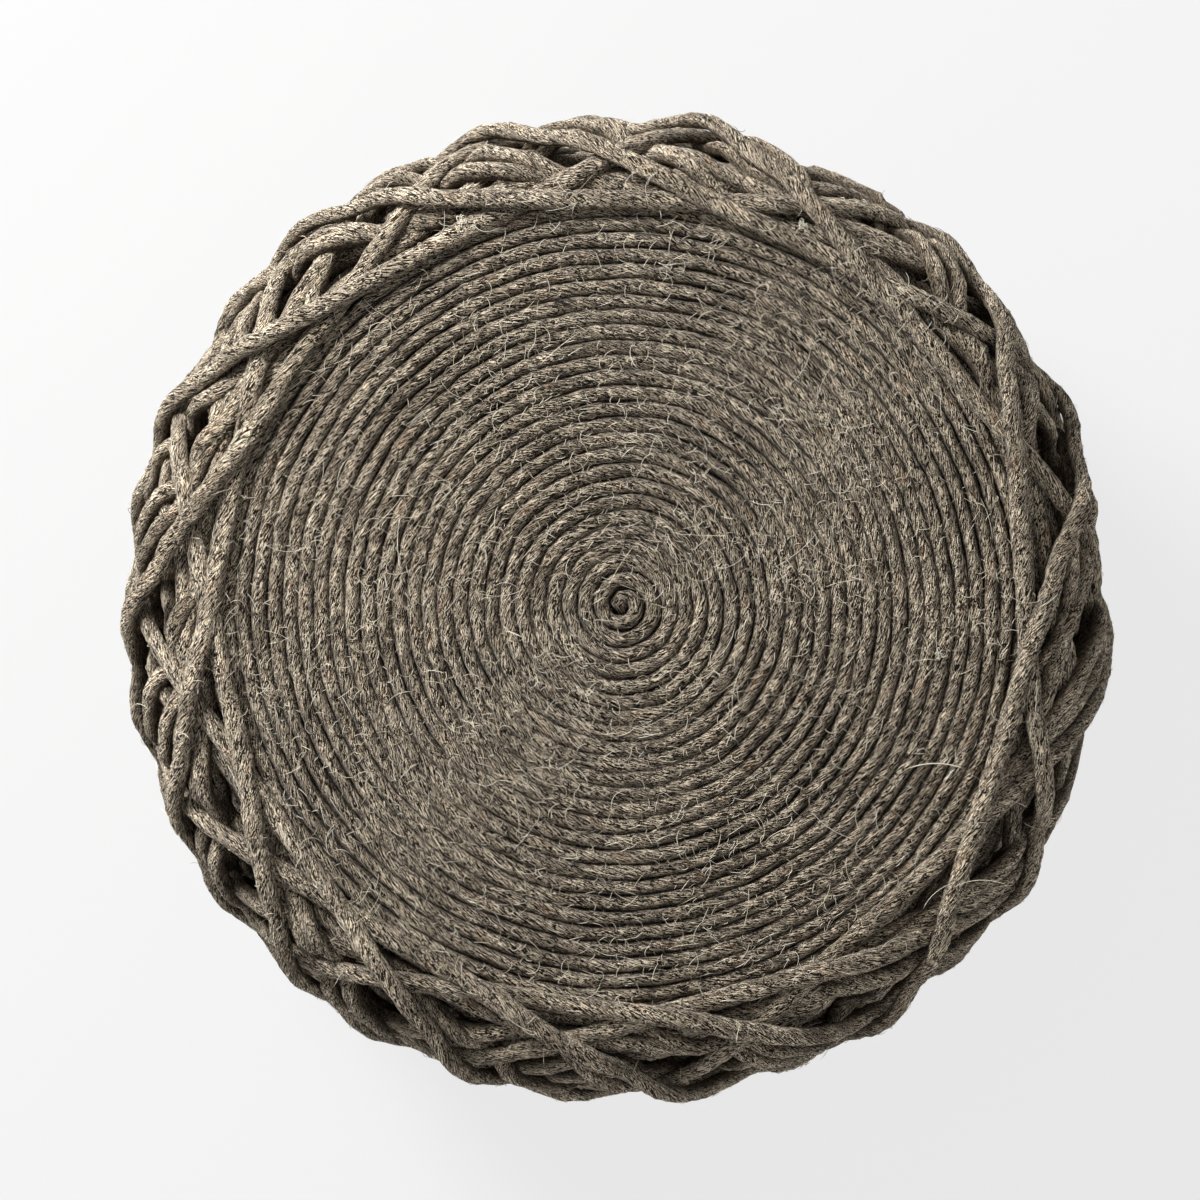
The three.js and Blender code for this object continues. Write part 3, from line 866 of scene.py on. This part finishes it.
def earlier_line(layer, number, chance):
    """The middle line of one turn of a layer of earlier turns. Its half that goes down
    counter-clockwise lies high and its other half low, so that turns cross over one another."""
    beside_coil = layer["beside_coil"] + LEVEL_SPREAD * chance.uniform(-1, 1)

    def level_at(turned, on_bed):
        side = np.where(turned > 0, layer["high"], layer["low"])
        level = beside_coil + eased(np.abs(turned) / TURNOVER) * (side - beside_coil)
        return level + [rise_between_outer_wraps(place) for place in on_bed]

    azimuth = 2 * math.pi * number / layer["count"] + AZIMUTH_SPREAD * chance.uniform(-1, 1)
    radii = layer["tangent_radii"]
    tangent_radius = radii[number % len(radii)] + TANGENT_SPREAD * chance.uniform(-1, 1)
    rings = ring_count(layer["yarn"])
    start = layer["first_azimuth"] + azimuth
    return wrap_line(start, tangent_radius, level_at, rings, layer["seed"] + number)


wool_yarn = wool_material("wool_yarn", True, SIDE_YARN_PAINTED_LIGHT)
surfaces = {}
for layer in EARLIER_LAYERS:
    chance = np.random.default_rng(layer["seed"])
    lines = [earlier_line(layer, number, chance) for number in range(layer["count"])]
    turns, surface = yarn_piece(layer["name"], layer["yarn"], lines, wool_yarn, layer["seed"])
    surfaces[layer["name"]] = [surface]
    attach(turns, "root")


# The outer wraps. These are the last turns of yarn, laid one by one over the shoulder, fourteen in
# all. Where two cross, the half that goes down counter-clockwise lies over the half that goes down
# clockwise, but the two wound on last lie over all the others.
WRAP_SEED = 40

surfaces["outer_wraps"] = []
for number, line in enumerate(outer_lines, start=1):
    name, seed = f"outer_wrap_{number:02d}", WRAP_SEED + number
    outer, surface = yarn_piece(name, WRAP_YARN, [line], wool_yarn, seed)
    surfaces["outer_wraps"].append(surface)
    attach(outer, "root")
    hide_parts(f"wrap_{number:02d}")


# The top coil. One length of the same yarn is coiled flat on top, outwards and clockwise as seen
# from above, about twenty-six turns, pressed together so that only thin grooves part them. Where it
# is fuller the grooves all but close.
COIL_RADIUS = 197 * MM
COIL_PITCH = 7.6 * MM
COIL_YARN = {
    "steps": (96, 50),
    "sides": 16,
    "width": 7.7 * MM,
    "thickness": COIL_THICKNESS,
    "end_length": 4 * MM,
    "painted_shade_up_to": 0.18,
}
# Painted shade: the top coil's copy of the wool is made darker than the side yarn's, which is the
# same yarn
COIL_PAINTED_SHADE = 0.87
COIL_SEED = 90
COIL_FIRST_TURN = 0.2
COIL_TUCKED_TURNS = 0.5
COIL_POINTS_A_TURN = 360
COIL_DRIFT = {"size": 1.2 * MM, "wave": 45 * MM, "layer": 3.1}
COIL_RIPPLE = {"size": 0.8 * MM, "wave": 16 * MM, "layer": 8.4}
COIL_RISE = {"size": 1.2 * MM, "wave": 18 * MM, "layer": 5.7}
COIL_FULLNESS = {"size": 0.13, "wave": 48 * MM, "layer": 2.6}
COIL_SETTLED_REACH = 20 * MM
COIL_EVEN_REACH = 30 * MM
START_SQUEEZE = 1.4 * MM
START_SQUEEZED_TURNS = 3
START_DEPTH = 5 * MM
START_SUNK_TURNS = 0.45
UPWARDS = (0.0, 0.0, 1.0)


def over_plan(unevenness, x, y):
    """Smooth uneven amounts at places in the plan."""
    wave, layer = unevenness["wave"], unevenness["layer"]
    amounts = [noise.noise((a / wave, b / wave, layer)) for a, b in zip(x, y)]
    return unevenness["size"] * np.array(amounts)


def coil_line(rings):
    """The middle line of the coiled yarn, from its tucked-in start to under the outer wraps."""
    last_turn = COIL_RADIUS / COIL_PITCH + COIL_TUCKED_TURNS
    count = int((last_turn - COIL_FIRST_TURN) * COIL_POINTS_A_TURN)
    turns = np.linspace(COIL_FIRST_TURN, last_turn, count)
    azimuth = -2 * math.pi * turns
    radius = COIL_PITCH * turns
    x, y = radius * np.cos(azimuth), radius * np.sin(azimuth)
    wander = over_plan(COIL_DRIFT, x, y) + over_plan(COIL_RIPPLE, x, y)
    rise = over_plan(COIL_RISE, x, y)
    radius = radius + np.clip(radius / COIL_SETTLED_REACH, 0, 1) * wander
    squeezed = 1 - eased((turns - COIL_FIRST_TURN) / START_SQUEEZED_TURNS)
    sunk = 1 - eased((turns - COIL_FIRST_TURN) / START_SUNK_TURNS)
    radius -= START_SQUEEZE * squeezed
    height = bed_height(radius) - SEAT_GAP - COIL_THICKNESS / 2 + rise - START_DEPTH * sunk
    points = np.stack([radius * np.cos(azimuth), radius * np.sin(azimuth), height], axis=1)
    return evenly_spaced(points, np.tile(UPWARDS, (len(points), 1)), rings)


line = coil_line(ring_count(COIL_YARN))
x, y, _ = line[0].T
full = over_plan(COIL_FULLNESS, x, y) * eased(np.hypot(x, y) / COIL_EVEN_REACH)
coil_yarn = wool_material("coil_yarn", True, COIL_PAINTED_SHADE)
coil, surface = yarn_piece("top_coil_yarn", COIL_YARN, [line], coil_yarn, COIL_SEED, full)
surfaces["top_coil"] = [surface]
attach(coil, "root")
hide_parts("top_coil")


# The loose hairs. Felted wool is full of fine pale hairs that lie over the yarn in all directions,
# thicker in some places than in others. Each is rooted in the yarn at one end, and they are a few
# millimetres to three centimetres long.
HAIR_END = 2 * MM


def hair_kind(steps, width):
    """The measures of one kind of hair, cut into these steps along its length."""
    return {
        "steps": steps,
        "sides": 3,
        "width": width,
        "thickness": width,
        "end_length": HAIR_END,
        "painted_shade_up_to": -0.6,
    }


HAIR_BUNDLES = (
    {
        "name": "hairs_on_earlier_turns",
        "on": ("earlier_turns",),
        "least_upward": -1,
        "within": 300 * MM,
        "count": 2400,
        "hair": hair_kind((4,), 0.32 * MM),
        "length": 4.5 * MM,
        "falls": True,
    },
    {
        "name": "hairs_on_wraps",
        "on": ("outer_wraps",),
        "least_upward": -1,
        "within": 300 * MM,
        "count": 4600,
        "hair": hair_kind((4,), 0.32 * MM),
        "length": 5 * MM,
        "falls": True,
    },
    {
        "name": "hairs_on_coil",
        "on": ("top_coil",),
        "least_upward": 0.6,
        "within": 215 * MM,
        "count": 6000,
        "hair": hair_kind((5,), 0.3 * MM),
        "length": 5.5 * MM,
        "falls": False,
    },
    {
        "name": "long_hairs",
        "on": ("outer_wraps", "top_coil"),
        "least_upward": 0.6,
        "within": 215 * MM,
        "count": 900,
        "hair": hair_kind((8,), 0.26 * MM),
        "length": 12 * MM,
        "falls": False,
    },
)
FIRST_HAIR_SEED = 300
HAIR_ROOT_DEPTH = 0.3 * MM

# Hairs grow where yarn faces away from the pouf's middle. Above the top height a place's distance
# from the axis counts for little, so that hairs there grow where the yarn faces up.
POUF_MIDDLE = np.array([0, 0, 200]) * MM
TOP_HEIGHT = 320 * MM
TOP_SPREAD = 0.2
LEAST_OUTWARD = 0.55
TUFT_WAVE = 26 * MM
TUFT_STRENGTH = 2.2

AIM_SPREAD = 0.8
LENGTH_SPREAD = 0.6
LEAST_HAIR = 2 * MM
MOST_USUAL_LENGTHS = 2.4
LYING_UPWARD = 0.35
SIDE_HAIR_SHARE = 0.55
BEND_SPREAD = 1.6
USUAL_BEND = 0.05
LIFTS_MM = (0.3, 1.1)
END_LIFTS_MM = (-1.2, 0.6)
FALL_RADIUS = 7 * MM
MOST_FALL = 3 * MM

WHITE_FIBRE = linear(248, 242, 226)
HAIR_COLOURS = (
    (0.36, GREY_FIBRE),
    (0.44, BEIGE_FIBRE),
    (0.50, CREAM_FIBRE),
    (0.58, WHITE_FIBRE),
)
HAIR_GRAIN = (0, 2.1)
HAIR_FINISH = {"Roughness": 0.6, "Specular IOR Level": 0.3}


def hair_lines(root, out, forward, length, bend, above):
    """Middle lines of hairs that start at a root inside the yarn, run forward over its surface, turn
    by a bend, and lie this far above their roots along the way."""
    sideways = np.cross(out, forward)
    share = np.linspace(0, 1, above.shape[1])
    ahead = length * np.sin(bend * share) / bend
    beside = length * (1 - np.cos(bend * share)) / bend
    centre = root[:, None] + sum(
        direction[:, None] * amount[..., None]
        for direction, amount in ((forward, ahead), (sideways, beside), (out, above))
    )
    outward = np.repeat(out[:, None], len(share), axis=1)
    return list(zip(centre, outward, length * share))


def hair_roots(bundle, chance):
    """Points of yarn that a bundle's hairs grow from, in tufts, where the yarn faces outwards, and
    the ways out of the yarn and along it there."""
    grown_on = [surface for kind in bundle["on"] for surface in surfaces[kind]]
    places, ways_out, ways_along = (np.concatenate(values) for values in zip(*grown_on))
    from_middle = places - POUF_MIDDLE
    from_middle[:, :2] *= np.where(places[:, 2:] > TOP_HEIGHT, TOP_SPREAD, 1)
    from_middle /= np.linalg.norm(from_middle, axis=1, keepdims=True)
    outermost = (ways_out * from_middle).sum(axis=1) > LEAST_OUTWARD
    upward = ways_out[:, 2] > bundle["least_upward"]
    inside = np.hypot(places[:, 0], places[:, 1]) < bundle["within"]
    fit = np.flatnonzero(outermost & upward & inside)
    tufted = np.array([noise.noise(place) for place in places[fit] / TUFT_WAVE])
    weights = np.exp(TUFT_STRENGTH * tufted)
    chosen = chance.choice(fit, bundle["count"], replace=False, p=weights / weights.sum())
    return places[chosen], ways_out[chosen], ways_along[chosen]


def loose_hairs(bundle, chance):
    """Middle lines of a bundle's hairs, each with its own aim, length, bend and lift."""
    root, out, along = hair_roots(bundle, chance)
    each = (bundle["count"], 1)
    aim = chance.normal(0, AIM_SPREAD, each) + math.pi * chance.integers(0, 2, each)
    forward = np.cos(aim) * along + np.sin(aim) * np.cross(out, along)
    usual = bundle["length"]
    length = chance.lognormal(math.log(usual), LENGTH_SPREAD, each)
    length = length.clip(LEAST_HAIR, MOST_USUAL_LENGTHS * usual)
    length *= np.where(out[:, 2:] > LYING_UPWARD, 1, SIDE_HAIR_SHARE)
    bend = chance.normal(0, BEND_SPREAD, each) + USUAL_BEND
    share = np.linspace(0, 1, ring_count(bundle["hair"]))
    lift = chance.uniform(*LIFTS_MM, each) * MM
    end_lift = chance.uniform(*END_LIFTS_MM, each) * MM
    above = lift * np.sin(math.pi * share) + end_lift * share**2 - HAIR_ROOT_DEPTH
    if bundle["falls"]:
        over_side = length * share * np.sin(aim + bend * share / 2)
        above -= (over_side**2 / (2 * FALL_RADIUS)).clip(0, MOST_FALL)
    return hair_lines(root, out, forward, length, bend, above)


def hair_material(name, colours):
    """Fine wool hair, each one of its own colour out of a row of them."""
    wool = Wool(name)
    place = wool.node("Attribute", attribute_name="fibre").outputs["Vector"]
    own = wool.grain(place, *HAIR_GRAIN, detail=0)
    return wool.finish(wool.ramp(own, colours), HAIR_FINISH)


loose_hair = hair_material("loose_hair", HAIR_COLOURS)
for seed, bundle in enumerate(HAIR_BUNDLES, start=FIRST_HAIR_SEED):
    lines = loose_hairs(bundle, np.random.default_rng(seed))
    hairs, _ = yarn_piece(bundle["name"], bundle["hair"], lines, loose_hair, seed)
    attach(hairs, "root")


# The white specks. Three small knots of short white fibres are caught in the yarn, and one long
# stiff white hair with a short one beside it lies across the coil.
SPECKS = (
    {"place": (-79.0 * MM, 189.4 * MM), "hairs": 24, "spread": 1.1 * MM},
    {"place": (89.5 * MM, 188.0 * MM), "hairs": 24, "spread": 1.1 * MM},
    {"place": (156.4 * MM, -22.9 * MM), "hairs": 9, "spread": 0.8 * MM},
)
SPECK_HAIR = hair_kind((4,), 0.6 * MM)
SPECK_SEED = 400
SPECK_LENGTHS_MM = (2, 4)
SPECK_BENDS = (-2.5, 2.5)
SPECK_LIFT = 1 * MM
SPECK_ROOT_DEPTH = 0.1 * MM
STIFF_HAIRS = (
    {"from": (138.7 * MM, -80.8 * MM), "to": (168.6 * MM, -80.3 * MM), "bend": -0.75},
    {"from": (163.7 * MM, -80.3 * MM), "to": (159.3 * MM, -86.2 * MM), "bend": 0.4},
)
STIFF_HAIR = hair_kind((10,), 0.75 * MM)
WHITE_SEED = 500
WHITE_COLOURS = ((0.3, CREAM_FIBRE), (0.4, WHITE_FIBRE))
RESTING_REACH = 4 * MM

hairy_kinds = ("earlier_turns", "outer_wraps", "top_coil")
top_points = np.concatenate([points for kind in hairy_kinds for points, _, _ in surfaces[kind]])


def resting_place(x, y):
    """The highest point of yarn close to a place in the plan."""
    near = np.hypot(top_points[:, 0] - x, top_points[:, 1] - y) < RESTING_REACH
    return np.array([x, y, top_points[near, 2].max()])


def speck_lines(chance):
    """Middle lines of the short fibres in the three knots, scattered about their places."""
    counts = [speck["hairs"] for speck in SPECKS]
    count = sum(counts)
    root = np.repeat([resting_place(*speck["place"]) for speck in SPECKS], counts, axis=0)
    spread = np.repeat([speck["spread"] for speck in SPECKS], counts)
    root[:, :2] += chance.normal(0, 1, (count, 2)) * spread[:, None]
    aim = chance.uniform(0, 2 * math.pi, count)
    forward = np.stack([np.cos(aim), np.sin(aim), 0 * aim], axis=1)
    length = chance.uniform(*SPECK_LENGTHS_MM, (count, 1)) * MM
    share = np.linspace(0, 1, ring_count(SPECK_HAIR))
    lift = chance.uniform(0, 1, (count, 1)) * SPECK_LIFT
    above = lift * np.sin(math.pi * share) - SPECK_ROOT_DEPTH
    bend = chance.choice(SPECK_BENDS, (count, 1))
    return hair_lines(root, np.tile(UPWARDS, (count, 1)), forward, length, bend, above)


def stiff_lines():
    """Middle lines of the stiff white hairs, each an arc from one place to another."""
    count = len(STIFF_HAIRS)
    starts = np.array([resting_place(*hair["from"]) for hair in STIFF_HAIRS])
    ends = np.array([resting_place(*hair["to"]) for hair in STIFF_HAIRS])
    half_bend = np.array([[hair["bend"] / 2] for hair in STIFF_HAIRS])
    chord = ends - starts
    chord_length = np.linalg.norm(chord, axis=1, keepdims=True)
    chord /= chord_length
    upward = np.tile(UPWARDS, (count, 1))
    forward = np.cos(half_bend) * chord - np.sin(half_bend) * np.cross(upward, chord)
    length = chord_length * half_bend / np.sin(half_bend)
    above = np.zeros((count, ring_count(STIFF_HAIR)))
    return hair_lines(starts, upward, forward, length, 2 * half_bend, above)


white_hair = hair_material("white_hair", WHITE_COLOURS)
for name, hair, lines in (
    ("white_knots", SPECK_HAIR, speck_lines(np.random.default_rng(SPECK_SEED))),
    ("stiff_white_hair", STIFF_HAIR, stiff_lines()),
):
    white, _ = yarn_piece(name, hair, lines, white_hair, WHITE_SEED)
    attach(white, "root")
